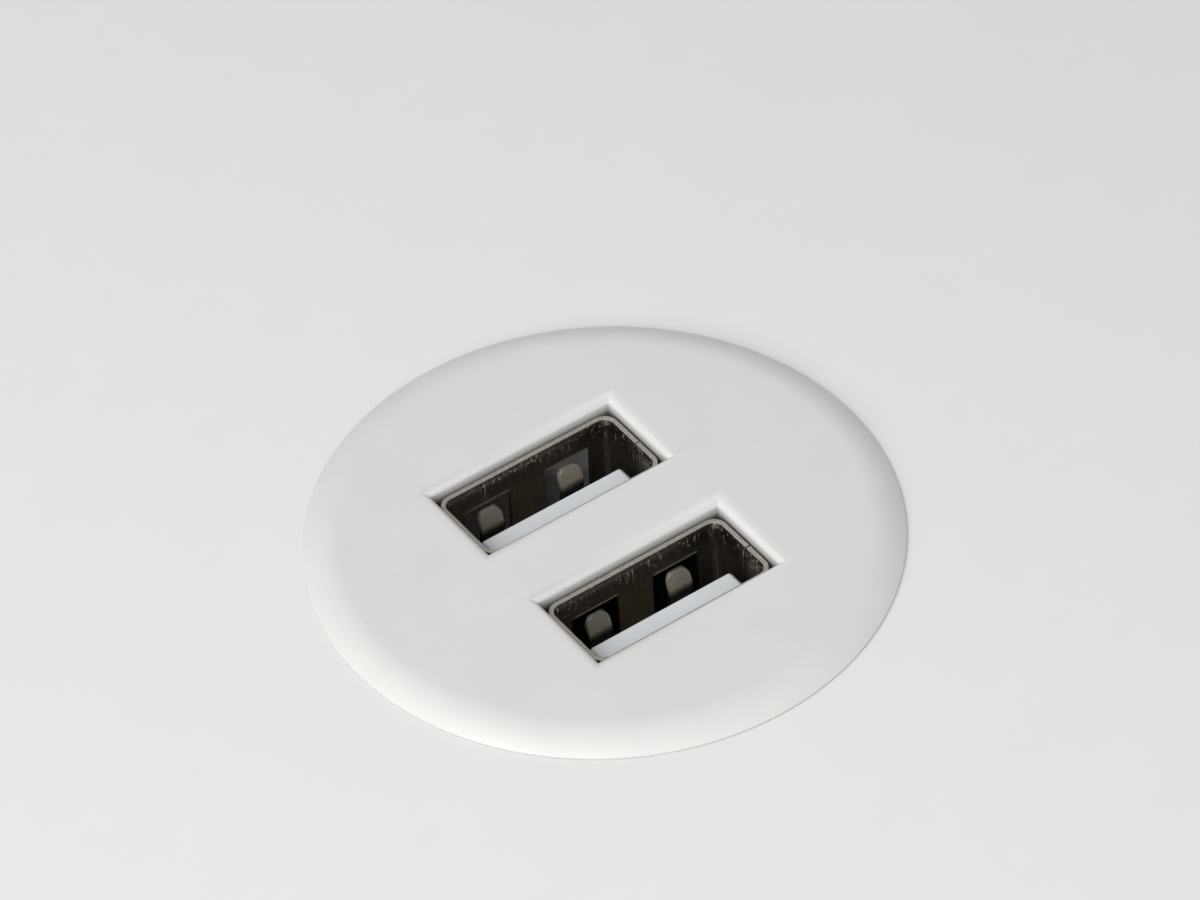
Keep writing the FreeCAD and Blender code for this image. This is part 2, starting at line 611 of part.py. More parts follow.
def make_rear_cap():
    cap = rod(CAP_RADIUS, CAP_UNDERSIDE, CAP_TOP)
    cuts = [rod(GROMMET_BORE_RADIUS + GROMMET_WALL, CAP_UNDERSIDE, CAP_TOP)]
    for side in (-1, 1):
        y = side * CAP_BOSS_Y
        cuts.append(rod(SCREW_SHANK_RADIUS + SCREW_HOLE_CLEARANCE, CAP_UNDERSIDE, CAP_TOP, 0, y))
        for i in range(CAP_VENT_COUNT):
            x = side * (CAP_VENT_FIRST + i * CAP_VENT_PITCH)
            cuts.append(block(CAP_VENT_WIDTH, CAP_VENT_LENGTH, CAP_UNDERSIDE, CAP_TOP, x))
    return one_solid(cap.cut(cuts))


def make_grommet():
    """The rubber bush of the cable inlet, with a groove that holds the cap's edge."""
    neck = GROMMET_BORE_RADIUS + GROMMET_WALL
    lip = neck + GROMMET_LIP
    top = CAP_TOP + GROMMET_INNER_LIP_HEIGHT
    low = CAP_UNDERSIDE - GROMMET_OUTER_LIP_HEIGHT
    return turned_profile([
        (GROMMET_BORE_RADIUS, top), (lip, top), (lip, CAP_TOP), (neck, CAP_TOP),
        (neck, CAP_UNDERSIDE), (lip, CAP_UNDERSIDE), (lip, low), (GROMMET_BORE_RADIUS, low),
    ])


def make_ring_nut():
    low = NUT_TOP - NUT_HEIGHT
    flange_low = NUT_TOP - NUT_FLANGE_HEIGHT
    body = turned_profile([
        (NUT_BORE, NUT_TOP), (NUT_FLANGE_RADIUS, NUT_TOP), (NUT_FLANGE_RADIUS, flange_low),
        (NUT_BODY_RADIUS, flange_low), (NUT_BODY_RADIUS, low), (NUT_BORE, low),
    ])
    root = (NUT_BORE + NUT_BODY_RADIUS) / 2
    tip = NUT_BODY_RADIUS + NUT_RIB_REACH
    corners = [(root, -NUT_RIB_WIDTH / 2), (NUT_BODY_RADIUS, -NUT_RIB_WIDTH / 2),
               (tip, -NUT_RIB_TIP_WIDTH / 2), (tip, NUT_RIB_TIP_WIDTH / 2),
               (NUT_BODY_RADIUS, NUT_RIB_WIDTH / 2), (root, NUT_RIB_WIDTH / 2)]
    points = [FreeCAD.Vector(x, y, low + NUT_RIB_INSET) for x, y in corners]
    outline = Part.Face(Part.makePolygon(points + points[:1]))
    rib = outline.extrude(Z_AXIS * (flange_low - low - NUT_RIB_INSET))
    ribs = [turned(rib, i * 360.0 / NUT_RIB_COUNT) for i in range(NUT_RIB_COUNT)]
    return one_solid(body.multiFuse(ribs))


def make_slip_washer():
    return tube(NUT_FLANGE_RADIUS, BARREL_RADIUS + WASHER_CLEARANCE, NUT_TOP, WASHER_TOP)


def hanging_block(size, place):
    return block(size[0], size[1], BOARD_UNDERSIDE - size[2], BOARD_UNDERSIDE, place[0], place[1])


def save_receptacle(suffix, y):
    """All the pieces of one receptacle. They are made about x = y = 0 and moved to their socket."""
    groups = {
        "receptacle_shell": [make_shell()],
        "receptacle_insulator": [make_insulator()],
        "gap_side_springs": make_grip_pair(1),
        "tongue_side_springs": make_grip_pair(-1),
        "contact_springs": make_contact_springs(),
        "contact_tails": make_contact_tails(),
    }
    for name, solids in groups.items():
        save(name + "_" + suffix, *[moved(solid, y=y) for solid in solids])


def save_electronics():
    x, y = INDUCTOR_PLACE
    length, width, height = INDUCTOR_SIZE
    terminal_length, terminal_width, terminal_height = INDUCTOR_TERMINAL_SIZE
    core_top = BOARD_UNDERSIDE - terminal_height
    save("power_inductor", rounded_block(length, width, INDUCTOR_CORNER, core_top - height,
                                         core_top, x, y))
    terminal_x = (length - terminal_length) / 2
    save("inductor_terminals", *[
        block(terminal_length, terminal_width, core_top, BOARD_UNDERSIDE, x + side * terminal_x, y)
        for side in (-1, 1)])

    can, base = electrolytic_capacitor(INPUT_CAPACITOR_RADIUS, INPUT_CAPACITOR_HEIGHT,
                                       INPUT_CAPACITOR_PLACE)
    save("input_capacitor_can", can)
    save("input_capacitor_base", base)
    x = SHELL_WIDTH / 2 + OUTPUT_CAPACITOR_SHELL_GAP + OUTPUT_CAPACITOR_RADIUS
    pairs = [electrolytic_capacitor(OUTPUT_CAPACITOR_RADIUS, OUTPUT_CAPACITOR_HEIGHT,
                                    (side * x, OUTPUT_CAPACITOR_Y)) for side in (-1, 1)]
    save("output_capacitor_cans", *[pair[0] for pair in pairs])
    save("output_capacitor_bases", *[pair[1] for pair in pairs])

    save("buck_converter_chip", chip_with_leads(BUCK_CHIP_SIZE, BUCK_CHIP_PLACE, BUCK_LEAD_COUNT,
                                                BUCK_LEAD_PITCH, BUCK_LEAD_WIDTH,
                                                BOARD_UNDERSIDE))
    x, y = PORT_CHIP_PLACE
    port_chips = []
    for side in (-1, 1):
        hanging = chip_with_leads(PORT_CHIP_SIZE, (side * x, y), PORT_LEAD_COUNT,
                                  PORT_LEAD_PITCH, PORT_LEAD_WIDTH, BOARD_TOP)
        port_chips.append(mirrored_up(hanging, BOARD_TOP))
    save("port_controller_chips", *port_chips)

    save("schottky_diode", hanging_block(DIODE_SIZE, DIODE_PLACE))
    save("resettable_fuse", hanging_block(FUSE_SIZE, FUSE_PLACE))
    length, width, height = CHIP_RESISTOR_SIZE
    resistors = []
    for side in (-1, 1):
        x, y = MIDDLE_RESISTOR_PLACE
        resistors.append(block(length, width, BOARD_TOP, BOARD_TOP + height, x, side * y))
        x, y = OUTER_RESISTOR_PLACE
        for end in (-1, 1):
            resistors.append(block(length, width, BOARD_TOP, BOARD_TOP + height,
                                   end * x, side * y))
    save("chip_resistors", *resistors)
    x = SHELL_WIDTH / 2 + CHIP_CAPACITOR_SHELL_GAP + CHIP_CAPACITOR_SIZE[0] / 2
    save("chip_capacitors", *[hanging_block(CHIP_CAPACITOR_SIZE, (side * x, y))
                              for y in (INNER_CHIP_CAPACITOR_Y, OUTER_CHIP_CAPACITOR_Y)
                              for side in (-1, 1)])

    x, y = HEADER_PLACE
    length, width, height = HEADER_SIZE
    header = hanging_block(HEADER_SIZE, HEADER_PLACE)
    cavity = block(length - 2 * HEADER_WALL, width - 2 * HEADER_WALL, BOARD_UNDERSIDE - height,
                   BOARD_UNDERSIDE - HEADER_FLOOR, x, y)
    pins = []
    holes = []
    for side in (-1, 1):
        pin_x = x + side * HEADER_PIN_SPACING / 2
        pins.append(block(HEADER_PIN_WIDTH, HEADER_PIN_WIDTH, BOARD_UNDERSIDE - HEADER_PIN_HEIGHT,
                          BOARD_TOP + HEADER_PIN_ABOVE_BOARD, pin_x, y))
        holes.append(block(HEADER_PIN_WIDTH, HEADER_PIN_WIDTH, BOARD_UNDERSIDE - HEADER_FLOOR,
                           BOARD_UNDERSIDE, pin_x, y))
    save("supply_header", one_solid(header.cut([cavity] + holes)))
    save("supply_header_pins", *pins)


def main():
    os.makedirs("parts", exist_ok=True)
    save("faceplate", make_faceplate())
    save("barrel", make_barrel())
    for suffix, side in (("a", -1), ("b", 1)):
        save_receptacle(suffix, side * SOCKET_SPACING / 2)
    save("main_board", make_board())
    save("board_screws", *make_board_screws())
    save_electronics()
    save("rear_cap", make_rear_cap())
    save("rear_cap_screws", *make_cap_screws())
    save("cable_grommet", make_grommet())
    save("slip_washer", make_slip_washer())
    save("ring_nut", make_ring_nut())


main()
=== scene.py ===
import json
import math

import bmesh
import bpy
from mathutils import Matrix, Vector


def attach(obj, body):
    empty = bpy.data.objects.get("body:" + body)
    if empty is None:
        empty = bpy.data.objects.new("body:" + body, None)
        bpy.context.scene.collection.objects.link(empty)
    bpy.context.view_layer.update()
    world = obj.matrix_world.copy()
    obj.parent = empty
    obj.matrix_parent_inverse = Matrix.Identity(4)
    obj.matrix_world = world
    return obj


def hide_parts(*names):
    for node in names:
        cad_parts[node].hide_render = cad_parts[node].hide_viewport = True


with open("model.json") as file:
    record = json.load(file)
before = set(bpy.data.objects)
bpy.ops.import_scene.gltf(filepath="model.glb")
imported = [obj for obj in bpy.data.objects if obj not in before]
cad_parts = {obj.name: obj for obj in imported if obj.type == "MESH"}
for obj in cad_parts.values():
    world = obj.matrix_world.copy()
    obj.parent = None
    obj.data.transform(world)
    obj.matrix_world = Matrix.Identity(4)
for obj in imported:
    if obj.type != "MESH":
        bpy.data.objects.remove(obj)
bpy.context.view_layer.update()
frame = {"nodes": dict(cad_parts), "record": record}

# The frame is the CAD's, in metres: the origin is on the barrel's axis at the height of the desk
# top, +Z is up and +X is along the long sides of the sockets. Lengths in this file are in
# millimetres, scaled by MM where Blender takes them, and angles are in degrees.
MM = 0.001

# Camera, fitted to the corners of the slots and the outline of the faceplate
CAMERA_AZIMUTH = math.radians(-33.711)
CAMERA_ELEVATION = math.radians(44.612)
CAMERA_ROLL = math.radians(-2.949)
CAMERA_PLACE = (-155.875, -233.694, 284.816)
CAMERA_LENS = 191.145
CAMERA_SENSOR = 36.0
CAMERA_CLIP = (10.0, 10000.0)

# Desk top, as a rounded rectangle that stands in line with the camera
DESK_RIGHT = (-43.0, 46.0)
DESK_FORWARD = (-36.0, 59.0)
DESK_CORNER = 6.0
DESK_CORNER_STEPS = 8
DESK_TOP = -0.01
DESK_SHEET = 0.5
DESK_HOLE_RADIUS = 15.2
DESK_HOLE_SIDES = 96

# Light. Each lamp has a direction from the plate, a width and a power.
WORLD_COLOUR = (0.985, 0.99, 1.0, 1.0)
WORLD_LIGHT = 0.50
BACKDROP_COLOUR = (0.765, 0.765, 0.755, 1.0)
LAMP_DISTANCE = 500.0
LAMPS = {
    "key": ((-0.90, -0.44, 0.72), 400.0, 2.4),
    "fill_front": ((0.45, -0.75, -0.70), 500.0, 1.3),
    "fill_behind": ((-0.60, 0.70, -0.45), 500.0, 1.1),
}

# Faceplate. The soft edge and the edges of the slots are arcs with a width and a drop.
PLATE_TOP = 1.0
PLATE_UNDERSIDE = -1.3
PLATE_SIDES = 240
FLANGE_RADIUS = 19.0
EDGE_WIDTH = 2.4
EDGE_DROP = 0.85
EDGE_STEPS = 14
EDGE_LEVEL_RIM = 0.4
GROOVE_RADIUS = 14.9
GROOVE_TOP = 0.1
SLOT_LENGTH = 13.9
SLOT_WIDTH = 6.45
SLOT_Y = 5.875
SLOT_EDGE_WIDTH = 0.8
SLOT_EDGE_DROP = 0.4
SLOT_EDGE_STEPS = 8
SLOT_LEVEL_RIM = 0.15
SLOT_CREASE = 0.07
SLOT_CREASE_POINTS = (0.0, 1 / 3, 2 / 3, 1.0)
SKIRT_OUTER = 13.2
SKIRT_INNER = 12.2
SKIRT_LOW = -6.0
RELIEF_TOP = -2.4
RELIEF_ANGLES = (9.74, 13.21)
HOOK_ANGLES = (45.0, 135.0, 225.0, 315.0)
HOOK_SPAN = 16.0
HOOK_PROFILE = ((12.7, -3.2), (13.7, -3.2), (13.7, -3.7), (SKIRT_OUTER, -5.0), (12.7, -5.0))
PILLAR_X = 10.3
PILLAR_RADIUS = 2.2
PILLAR_SIDES = 48
PILOT_RADIUS = 0.85
PILOT_TOP = -7.8
RIB_LOW = -4.3
RIB_THICKNESS = 1.2
# How far the solids of one moulding reach into each other
OVERLAP = 0.01
# Radius of a profile's point on its axis, before those points are joined
ON_AXIS = 0.001
JOIN_ON_AXIS = 0.01

# Threads. A ridge's profile is a list of how far out and how far up each point is.
THREAD_PITCH = 3.0
THREAD_LOW = -33.4
THREAD_HIGH = -9.3
THREAD_STEPS = 96
THREAD_FADE = 0.12
CORE_RADIUS = 14.4
BARREL_RIDGE_HALF = 0.85
BARREL_RIDGE = ((-0.06, -BARREL_RIDGE_HALF), (0.02, -0.78), (0.30, -0.38), (0.36, -0.26),
                (0.36, 0.26), (0.30, 0.38), (0.02, 0.78), (-0.06, BARREL_RIDGE_HALF))
NUT_BORE = 14.9
NUT_THREAD_LOW = -27.2
NUT_THREAD_HIGH = -20.8
NUT_RIDGE = ((0.06, -0.55), (-0.3, -0.3), (-0.3, 0.3), (0.06, 0.55))

# Screws, which point up. The head's curve is a list of radius and height above its low end. The
# thread starts a little above the seat and ends a little below the tip.
SCREW_CORE = 0.62
SCREW_PITCH = 0.65
SCREW_RIDGE = ((-0.05, -0.2), (0.18, -0.03), (0.18, 0.03), (-0.05, 0.2))
SCREW_THREAD_STEPS = 24
SCREW_THREAD_FADE = 0.3
SCREW_THREAD_START = 0.25
SCREW_THREAD_END = 0.75
SCREW_POINT = 0.7
SCREW_GRIP = 5.0
SCREW_HEAD = 1.9
SCREW_HEAD_HEIGHT = 1.3
SCREW_HEAD_CURVE = ((ON_AXIS, 0.0), (0.8, 0.02), (1.25, 0.12), (1.6, 0.34), (1.82, 0.66),
                    (SCREW_HEAD, 1.0))
SCREW_SIDES = 40
SCREW_CREASE = 50.0
RECESS_ARM = 1.45
RECESS_WIDTH = 0.31
RECESS_DEPTH = 0.85
RECESS_HEIGHT = 1.3
RECESS_TAPER = 0.5
RECESS_TURN = 20.0
BOARD_TOP = -13.4
BOARD_UNDERSIDE = -15.0
CAP_TOP = -34.0
CAP_UNDERSIDE = -35.6
CAP_SCREW_Y = 11.1
# Node, name of its pieces, height that the head seats on, top of what it holds, places
SCREW_ROWS = (
    ("board_screws", "board_screw", BOARD_UNDERSIDE, BOARD_TOP,
     ((-PILLAR_X, 0.0), (PILLAR_X, 0.0))),
    ("rear_cap_screws", "cap_screw", CAP_UNDERSIDE, CAP_TOP,
     ((0.0, -CAP_SCREW_Y), (0.0, CAP_SCREW_Y))),
)

# Width of the round on each CAD node's sharp edges. Faces that meet at less than the flat angle
# become one, and edges sharper than the rounded angle get the round.
EDGE_ROUNDS = {
    "barrel": 0.12, "rear_cap": 0.2, "ring_nut": 0.18, "slip_washer": 0.15, "cable_grommet": 0.3,
    "receptacle_shell_a": 0.03, "receptacle_shell_b": 0.03,
    "receptacle_insulator_a": 0.08, "receptacle_insulator_b": 0.08,
    "gap_side_springs_a": 0.07, "gap_side_springs_b": 0.07,
    "tongue_side_springs_a": 0.07, "tongue_side_springs_b": 0.07,
    "contact_springs_a": 0.05, "contact_springs_b": 0.05,
    "supply_header": 0.12, "power_inductor": 0.15, "input_capacitor_can": 0.4,
    "output_capacitor_cans": 0.3, "input_capacitor_base": 0.15, "output_capacitor_bases": 0.15,
    "resettable_fuse": 0.15, "schottky_diode": 0.12, "buck_converter_chip": 0.06,
    "port_controller_chips": 0.05, "chip_resistors": 0.04, "chip_capacitors": 0.06,
}
JOIN_FACES = 0.001
FLAT_ANGLE = 0.2
ROUNDED_ANGLE = 38.0
ROUND_STEPS = 3
NORMAL_WEIGHT = 80

# Wear, painted shade, and a darker band at the faceplate's foot. Each pair is where a zone's edge
# starts and where it ends.
SLOT_SHADE_RADIUS = (11.9, 12.1)
SLOT_SHADE_HEIGHT = (-0.3, 0.5)
FOOT_BAND_RADIUS = (18.85, 18.95)
FOOT_BAND_HEIGHT = (0.08, 0.16)
SHELL_RIM = 0.1
WORN_CORNER_ALONG = (4.6, 6.0)
WORN_CORNER_ACROSS = (4.6, 6.4)
WINDOW_START = (1.3, 1.5)
WINDOW_END = (4.6, 4.9)
WINDOW_LINE_LOW = (-1.76, -1.70)
WINDOW_LINE_HIGH = (-1.56, -1.46)
GRIP_CREST = -3.55
GRIP_CREST_BLUR = 0.3

# Colours at the low and the high end of a pattern
# Painted shade on the slot walls, darker towards their bottom
SLOT_PAINTED_SHADE = ((0.055, 0.05, 0.045), (0.085, 0.078, 0.07))
# A darker, yellower band at the foot of the faceplate's edge
FOOT_BAND = ((0.36, 0.34, 0.28), (0.44, 0.42, 0.35))
SHELL_PLATING = ((0.20, 0.175, 0.145), (0.34, 0.305, 0.255))
# Painted shade inside the shell, below the rim
SHELL_PAINTED_SHADE = ((0.055, 0.048, 0.042), (0.105, 0.092, 0.08))
SHELL_SCRAPES = ((0.30, 0.24, 0.18), (0.52, 0.46, 0.37))
SHELL_EDGE = ((0.30, 0.27, 0.235), (0.52, 0.485, 0.43))
SPRING_RUBBED = ((0.30, 0.28, 0.24), (0.46, 0.43, 0.375))
# Painted shade on the spring below its crest
SPRING_PAINTED_SHADE = ((0.045, 0.04, 0.036), (0.085, 0.078, 0.07))


# ---------------------------------------------------------------- Camera
def place_camera():
    """Makes the scene's camera from its place, its two angles and its roll."""
    a, e, r = CAMERA_AZIMUTH, CAMERA_ELEVATION, CAMERA_ROLL
    back = Vector((math.sin(a) * math.cos(e), -math.cos(a) * math.cos(e), math.sin(e)))
    level_right = Vector((math.cos(a), math.sin(a), 0.0))
    level_up = back.cross(level_right)
    right = level_right * math.cos(r) + level_up * math.sin(r)
    up = level_up * math.cos(r) - level_right * math.sin(r)
    data = bpy.data.cameras.new("camera")
    data.sensor_width = CAMERA_SENSOR
    data.lens = CAMERA_LENS
    data.clip_start, data.clip_end = (reach * MM for reach in CAMERA_CLIP)
    camera = bpy.data.objects.new("camera", data)
    camera.matrix_world = Matrix((
        (right.x, up.x, back.x, CAMERA_PLACE[0] * MM),
        (right.y, up.y, back.y, CAMERA_PLACE[1] * MM),
        (right.z, up.z, back.z, CAMERA_PLACE[2] * MM),
        (0.0, 0.0, 0.0, 1.0),
    ))
    bpy.context.scene.collection.objects.link(camera)
    bpy.context.scene.camera = camera


# ---------------------------------------------------------------- Materials
class Finish:
    """A procedural material: one principled shader and the patterns that feed it."""

    def __init__(self, name, **fixed):
        self.material = bpy.data.materials.new(name)
        self.material.use_nodes = True
        self.nodes = self.material.node_tree.nodes
        self.links = self.material.node_tree.links
        self.nodes.clear()
        output = self.nodes.new("ShaderNodeOutputMaterial")
        self.shader = self.nodes.new("ShaderNodeBsdfPrincipled")
        self.links.new(self.shader.outputs["BSDF"], output.inputs["Surface"])
        for socket, value in fixed.items():
            self.shader.inputs[socket.replace("_", " ")].default_value = value
        self.place = self.nodes.new("ShaderNodeTexCoord").outputs["Object"]

    def axes(self):
        """The place's x, y and z."""
        node = self.nodes.new("ShaderNodeSeparateXYZ")
        self.links.new(self.place, node.inputs["Vector"])
        return node.outputs

    def stretched(self, x, y, z):
        """The place with its axes scaled."""
        mapping = self.nodes.new("ShaderNodeMapping")
        mapping.inputs["Scale"].default_value = (x, y, z)
        self.links.new(self.place, mapping.inputs["Vector"])
        return mapping.outputs["Vector"]

    def radius(self):
        """The place's distance from the upright axis."""
        node = self.nodes.new("ShaderNodeVectorMath")
        node.operation = "LENGTH"
        self.links.new(self.stretched(1.0, 1.0, 0.0), node.inputs[0])
        return node.outputs["Value"]

    def noise(self, size, detail=4.0, rough=0.55, place=None):
        node = self.nodes.new("ShaderNodeTexNoise")
        node.inputs["Scale"].default_value = 1.0 / (size * MM)
        node.inputs["Detail"].default_value = detail
        node.inputs["Roughness"].default_value = rough
        self.links.new(place or self.place, node.inputs["Vector"])
        return node.outputs["Fac"]

    def spread(self, value, low, high, start=0.3, end=0.7):
        """Goes from low to high while the value goes from start to end."""
        node = self.nodes.new("ShaderNodeMapRange")
        node.inputs["From Min"].default_value = start
        node.inputs["From Max"].default_value = end
        node.inputs["To Min"].default_value = low
        node.inputs["To Max"].default_value = high
        self.links.new(value, node.inputs["Value"])
        return node.outputs["Result"]

    def zone(self, length, low, high, change):
        """The same for a length, with its start and end in millimetres."""
        return self.spread(length, low, high, change[0] * MM, change[1] * MM)

    def calc(self, operation, *values):
        """A math node of numbers and other nodes' outputs."""
        node = self.nodes.new("ShaderNodeMath")
        node.operation = operation
        for socket, value in zip(node.inputs, values):
            if isinstance(value, float):
                socket.default_value = value
            else:
                self.links.new(value, socket)
        return node.outputs["Value"]

    def product(self, first, *others):
        for other in others:
            first = self.calc("MULTIPLY", first, other)
        return first

    def highest(self, first, *others):
        for other in others:
            first = self.calc("MAXIMUM", first, other)
        return first

    def tint(self, value, colours, start=0.3, end=0.7):
        """Goes from the first colour to the second while the value goes from start to end."""
        node = self.nodes.new("ShaderNodeValToRGB")
        for element, position, colour in zip(node.color_ramp.elements, (start, end), colours):
            element.position = position
            element.color = (*colour, 1.0)
        self.links.new(value, node.inputs["Fac"])
        return node.outputs["Color"]

    def mixed(self, share, first, second):
        """The first colour with a share of the second."""
        node = self.nodes.new("ShaderNodeMix")
        node.data_type = "RGBA"
        self.links.new(share, node.inputs["Factor"])
        self.links.new(first, node.inputs[6])
        self.links.new(second, node.inputs[7])
        return node.outputs[2]

    def colour(self, value):
        self.links.new(value, self.shader.inputs["Base Color"])

    def roughness(self, value):
        self.links.new(value, self.shader.inputs["Roughness"])

    def metallic(self, value):
        self.links.new(value, self.shader.inputs["Metallic"])

    def bump(self, height, depth):
        node = self.nodes.new("ShaderNodeBump")
        node.inputs["Distance"].default_value = depth * MM
        self.links.new(height, node.inputs["Height"])
        self.links.new(node.outputs["Normal"], self.shader.inputs["Normal"])


def around(colour, change):
    """A darker and a lighter colour on both sides of one."""
    return (tuple(c * (1 - change) for c in colour),
            tuple(min(1.0, c * (1 + change)) for c in colour))


def moulded(name, colour, rough, grain=0.12, depth=0.006, change=0.02, grime=None, **fixed):
    """Moulded plastic or rubber with a fine texture and a faint change of shade."""
    finish = Finish(name, **fixed)
    clean = finish.tint(finish.noise(4.0, 5.0), around(colour, change))
    # A finish may paint shade, and a darker band, over the clean colour
    finish.colour(grime(finish, clean) if grime else clean)
    finish.roughness(finish.spread(finish.noise(0.6), rough - 0.05, rough + 0.05))
    finish.bump(finish.noise(grain, 2.0), depth)
    return finish.material


def metal(name, colour, rough, change=0.08, depth=0.003):
    """Rolled or plated metal with fine upright streaks."""
    finish = Finish(name, Metallic=1.0)
    lines = finish.noise(0.12, 4.0, 0.6, finish.stretched(1.0, 1.0, 0.12))
    finish.colour(finish.tint(lines, around(colour, change)))
    finish.roughness(finish.spread(finish.noise(0.7), rough - 0.07, rough + 0.07))
    finish.bump(lines, depth)
    return finish.material


def slot_shade_and_foot_band(finish, clean):
    """Painted shade low in the slots, and a darker band along the foot of the faceplate's edge.
    """
    _, _, height = finish.axes()
    radius = finish.radius()
    # Painted shade in the slots, darker towards the bottom of their walls
    in_slots = finish.product(finish.zone(radius, 1.0, 0.0, SLOT_SHADE_RADIUS),
                              finish.zone(height, 0.85, 0.0, SLOT_SHADE_HEIGHT))
    # A darker band along the foot of the edge
    at_foot = finish.product(finish.zone(radius, 0.0, 1.0, FOOT_BAND_RADIUS),
                             finish.zone(height, 0.5, 0.0, FOOT_BAND_HEIGHT))
    mottle = finish.noise(0.5, 3.0)
    with_foot = finish.mixed(at_foot, clean, finish.tint(mottle, FOOT_BAND))
    return finish.mixed(in_slots, with_foot, finish.tint(mottle, SLOT_PAINTED_SHADE))


def shell_wear_and_shade():
    """Dull plated sheet with painted shade below the rim. Plugs have scraped short streaks and
    specks into it below the rim.
    """
    finish = Finish("shell_steel")
    along, across, height = finish.axes()

    def from_rim(low, high, share):
        """Grows from 0 at one depth below the rim to the share at a higher place."""
        return finish.zone(height, 0.0, share, (SHELL_RIM + low, SHELL_RIM + high))

    # The right end is worn most, and the painted shade is deepest there. Both sockets have the
    # same place across when it is wrapped at their spacing.
    wrapped = finish.calc("WRAP", across, 2 * SLOT_Y * MM, 0.0)
    below_rim = from_rim(-2.2, -0.4, 1.0)
    corner = finish.product(finish.zone(along, 0.0, 1.0, WORN_CORNER_ALONG),
                            finish.zone(wrapped, 1.0, 0.0, WORN_CORNER_ACROSS), below_rim)
    rim = from_rim(-0.06, -0.02, 0.8)
    # Painted shade inside the mouth below the rim, deepest at the worn right end
    mouth_shade = finish.highest(from_rim(-2.2, -0.7, 0.75), corner)

    streaks = finish.spread(finish.noise(0.20, 3.0, 0.6, finish.stretched(1.0, 1.0, 0.14)),
                            0.0, 1.0, 0.60, 0.68)
    specks = finish.spread(finish.noise(0.20, 2.0, 0.5), 0.0, 0.9, 0.65, 0.72)
    patches = finish.spread(finish.noise(0.17, 4.0, 0.7), 0.0, 0.6, 0.52, 0.60)
    # A faint rubbed line on the edge above each window
    aside = finish.calc("ABSOLUTE", along)
    line = finish.product(finish.zone(aside, 0.0, 1.0, WINDOW_START),
                          finish.zone(aside, 1.0, 0.0, WINDOW_END),
                          finish.zone(height, 0.0, 0.45, WINDOW_LINE_LOW),
                          finish.zone(height, 1.0, 0.0, WINDOW_LINE_HIGH))
    wear = finish.highest(finish.product(streaks, from_rim(-1.5, -0.15, 1.0)),
                          finish.product(specks, below_rim),
                          finish.product(patches, corner), line)

    grain = finish.noise(0.10, 4.0, 0.6, finish.stretched(1.0, 1.0, 0.10))
    # Plating at the rim, painted shade lower in the mouth
    sheet = finish.mixed(mouth_shade, finish.tint(grain, SHELL_PLATING, 0.25, 0.75),
                         finish.tint(grain, SHELL_PAINTED_SHADE, 0.25, 0.75))
    scraped_and_shaded = finish.mixed(wear, sheet, finish.tint(finish.noise(0.3, 3.0), SHELL_SCRAPES))
    edge = finish.tint(finish.noise(0.14, 4.0, 0.7), SHELL_EDGE, 0.35, 0.65)
    finish.colour(finish.mixed(rim, scraped_and_shaded, edge))
    bare = finish.highest(wear, rim)
    finish.roughness(finish.spread(bare, 0.34, 0.55, 0.0, 1.0))
    finish.metallic(finish.spread(bare, 1.0, 0.35, 0.0, 1.0))
    finish.bump(finish.calc("ADD", grain, bare), 0.004)
    return finish.material


def rubbed_and_shaded_spring():
    """Plated spring sheet, rubbed bright by plugs from its tip to its crest, with painted shade
    below the crest.
    """
    finish = Finish("spring_steel")
    _, _, height = finish.axes()
    above_crest = finish.zone(height, 0.0, 1.0,
                         (GRIP_CREST - GRIP_CREST_BLUR, GRIP_CREST + GRIP_CREST_BLUR))
    grain = finish.noise(0.14, 4.0, 0.65)
    # Rubbed colour above the crest, painted shade below it
    finish.colour(finish.mixed(above_crest, finish.tint(grain, SPRING_PAINTED_SHADE),
                               finish.tint(grain, SPRING_RUBBED)))
    finish.metallic(finish.spread(above_crest, 1.0, 0.7, 0.0, 1.0))
    finish.roughness(finish.spread(finish.noise(0.5), 0.42, 0.58))
    finish.bump(grain, 0.008)
    return finish.material


# Colour, roughness and what differs from the usual look
PLASTICS = {
    "faceplate_plastic": ((0.70, 0.69, 0.672), 0.42, {"grime": slot_shade_and_foot_band}),
    "barrel_plastic": ((0.62, 0.61, 0.60), 0.48, {}),
    "nut_plastic": ((0.60, 0.59, 0.58), 0.48, {}),
    "washer_plastic": ((0.50, 0.50, 0.49), 0.55, {}),
    "tongue_plastic": ((0.71, 0.74, 0.76), 0.4, {}),
    "grommet_rubber": ((0.035, 0.035, 0.037), 0.65, {"depth": 0.012}),
    "ferrite": ((0.05, 0.05, 0.052), 0.6, {"grain": 0.2, "depth": 0.03, "change": 0.2}),
    "chip_plastic": ((0.022, 0.022, 0.024), 0.5, {"depth": 0.01, "change": 0.2}),
    "fuse_plastic": ((0.03, 0.10, 0.05), 0.5, {"change": 0.1}),
    "ceramic_tan": ((0.36, 0.25, 0.15), 0.45, {"change": 0.1}),
    "header_nylon": ((0.72, 0.69, 0.60), 0.5, {}),
    "board_laminate": ((0.012, 0.06, 0.032), 0.4, {"grain": 0.4, "change": 0.15}),
    "desk_laminate": ((0.79, 0.79, 0.78), 0.6, {"grain": 0.5, "depth": 0.004, "change": 0.006,
                                                "Specular_IOR_Level": 0.25}),
}
METALS = {
    "contact_gilt": ((0.83, 0.60, 0.25), 0.25, {"depth": 0.0006}),
    "tinned_metal": ((0.66, 0.66, 0.65), 0.3, {}),
    "screw_steel": ((0.46, 0.46, 0.47), 0.27, {"change": 0.05, "depth": 0.0008}),
    "can_aluminium": ((0.75, 0.75, 0.76), 0.28, {}),
}


